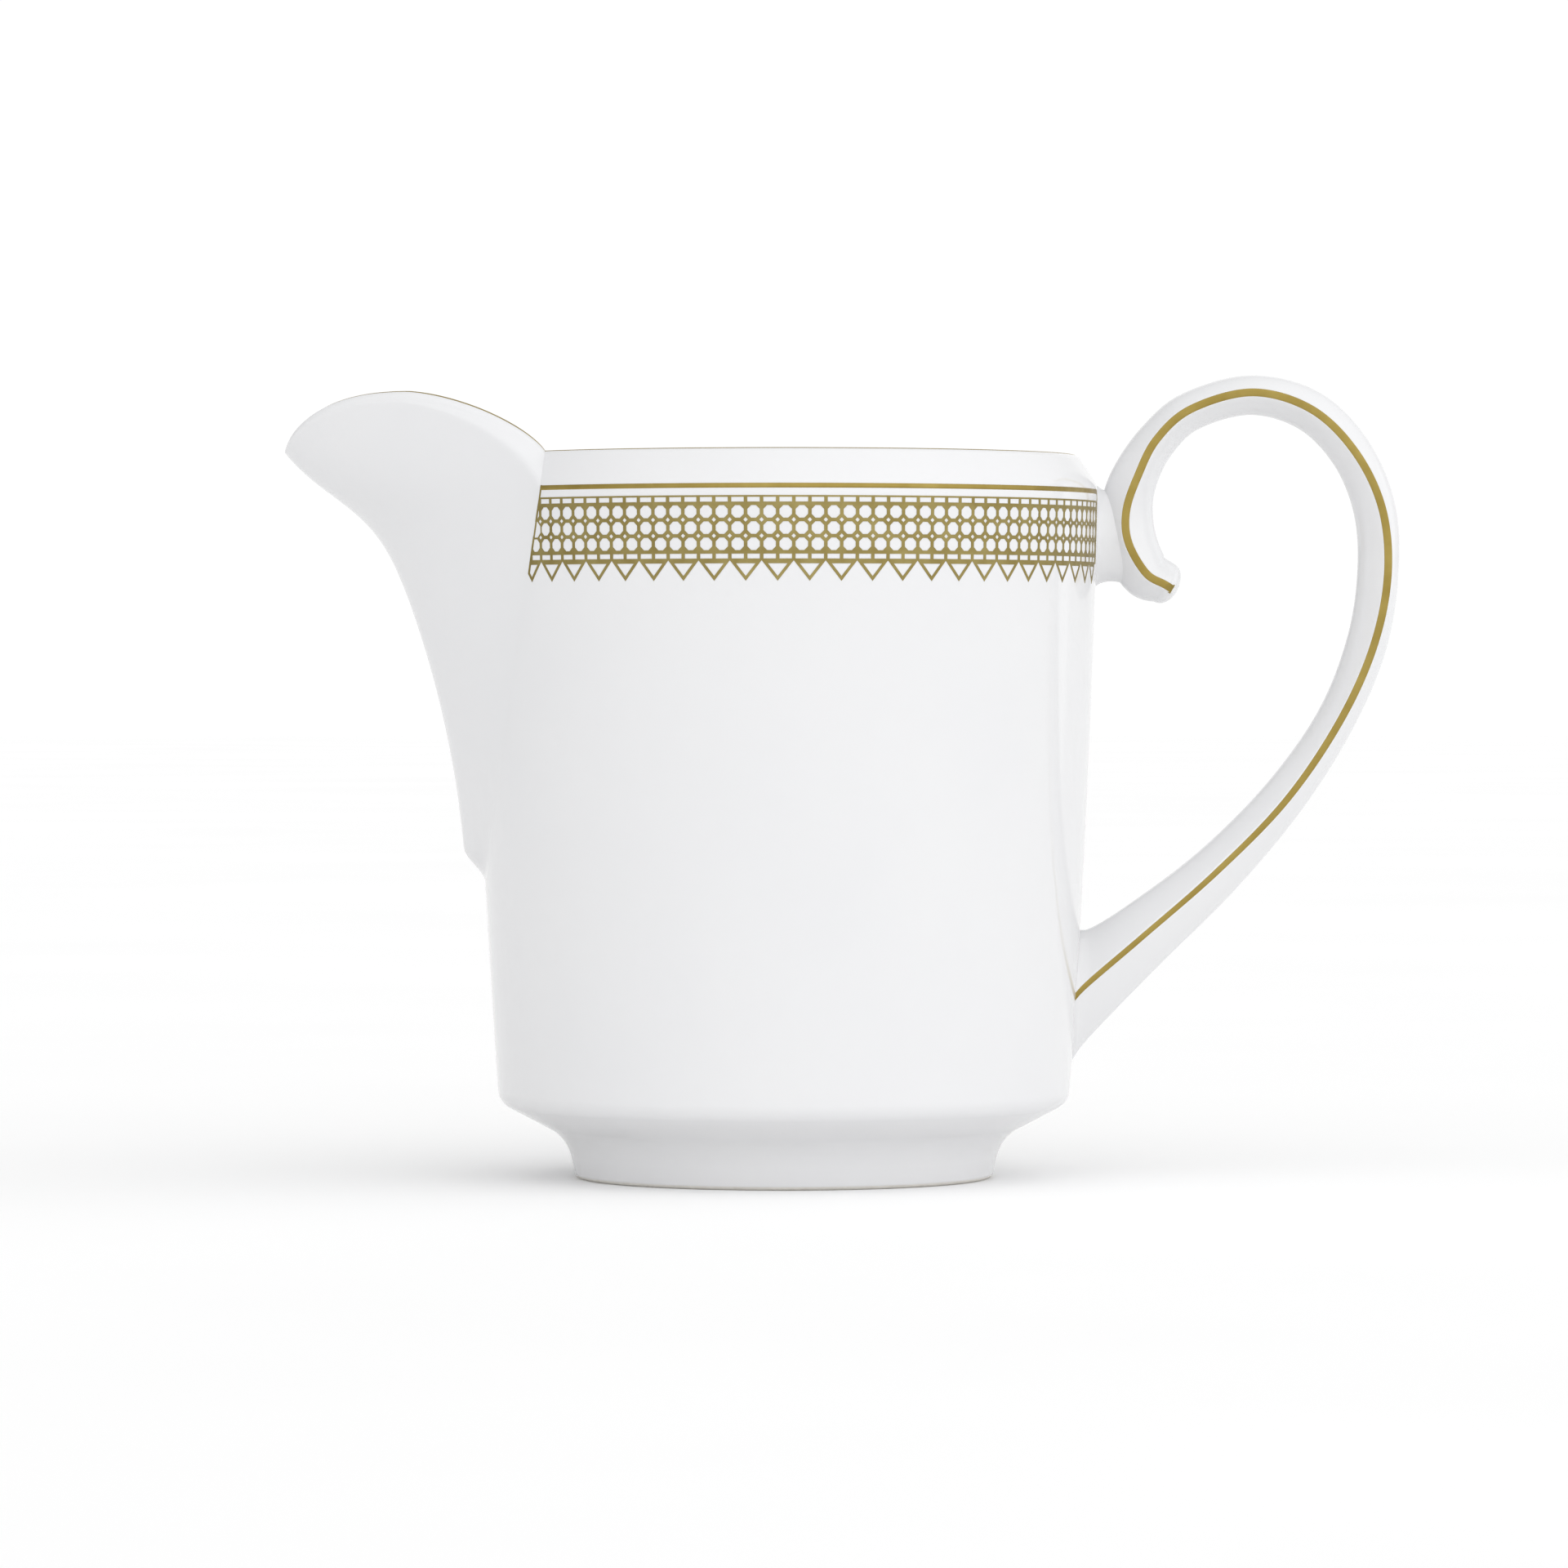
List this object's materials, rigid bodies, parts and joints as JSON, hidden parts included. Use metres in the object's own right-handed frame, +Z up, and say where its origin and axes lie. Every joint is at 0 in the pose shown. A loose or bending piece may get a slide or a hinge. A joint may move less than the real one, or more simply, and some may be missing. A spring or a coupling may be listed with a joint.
{
  "type": "cream jug",
  "caption": "Porcelain cream jug with a shouldered body, beak spout, scroll handle, foot ring and gilded lace bands.",
  "frame": {"origin": "centre of the foot ring's resting plane, on the axis of the body", "axes": "+Z up, +X towards the handle, -X towards the spout, and the jug is symmetric about the XZ plane"},
  "size_m": [0.1301, 0.0736, 0.0936],
  "materials": {
    "glazed_porcelain": "white hard porcelain under a clear glossy glaze",
    "foot_porcelain": "the same glazed porcelain, wiped bare and slightly rough where the ring meets the table",
    "bright_gold": "fired liquid gold, thin and bright",
    "lace_gold": "fired gold transfer, a little duller than the lines"
  },
  "bodies": {
    "root": {"body": "glazed_porcelain", "foot_ring": "foot_porcelain", "spout": "glazed_porcelain", "handle": "glazed_porcelain", "rim_gilding": "bright_gold", "spout_lip_gilding": "bright_gold", "band_line_front": "bright_gold", "band_line_back": "bright_gold", "lace_band_front": "lace_gold", "lace_band_back": "lace_gold", "handle_gilding_front": "bright_gold", "handle_gilding_back": "bright_gold"}
  },
  "joints": []
}
